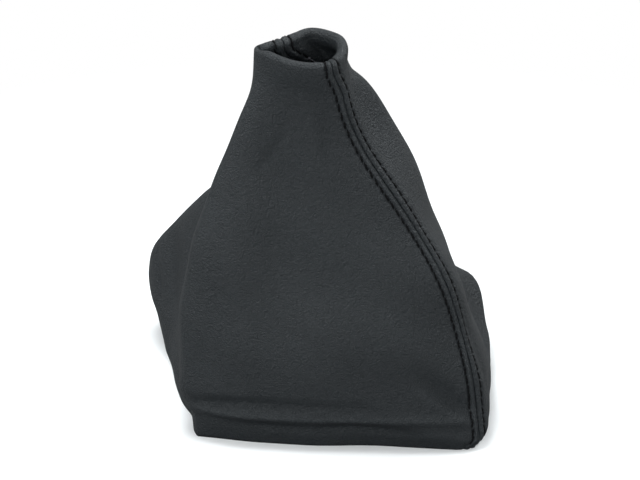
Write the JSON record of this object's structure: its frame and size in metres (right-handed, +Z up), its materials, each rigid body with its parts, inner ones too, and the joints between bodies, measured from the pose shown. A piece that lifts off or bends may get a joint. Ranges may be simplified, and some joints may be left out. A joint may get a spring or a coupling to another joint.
{
  "type": "gear lever gaiter",
  "caption": "Soft black leather gaiter with a wide four-cornered hem and a narrow turned collar for a gear lever, sewn from panels with topstitched corner seams.",
  "frame": {"origin": "on the floor plane of the hem, under the middle of the gaiter's outer box", "axes": "+Z up from the hem to the collar, -Y towards the front face, +X to the right seen from the front"},
  "size_m": [0.1836, 0.1316, 0.1888],
  "materials": {
    "leather": "black fine-grained leather, satin",
    "thread": "black twisted sewing thread, matt"
  },
  "bodies": {
    "root": {"front_left_leather_panel": "leather", "rear_right_leather_panel": "leather", "front_right_seam_joining_thread": "thread", "rear_left_seam_joining_thread": "thread", "front_right_topstitch_on_front_panel": "thread", "front_right_topstitch_on_rear_panel": "thread", "rear_left_topstitch_on_front_panel": "thread", "rear_left_topstitch_on_rear_panel": "thread"}
  },
  "joints": []
}
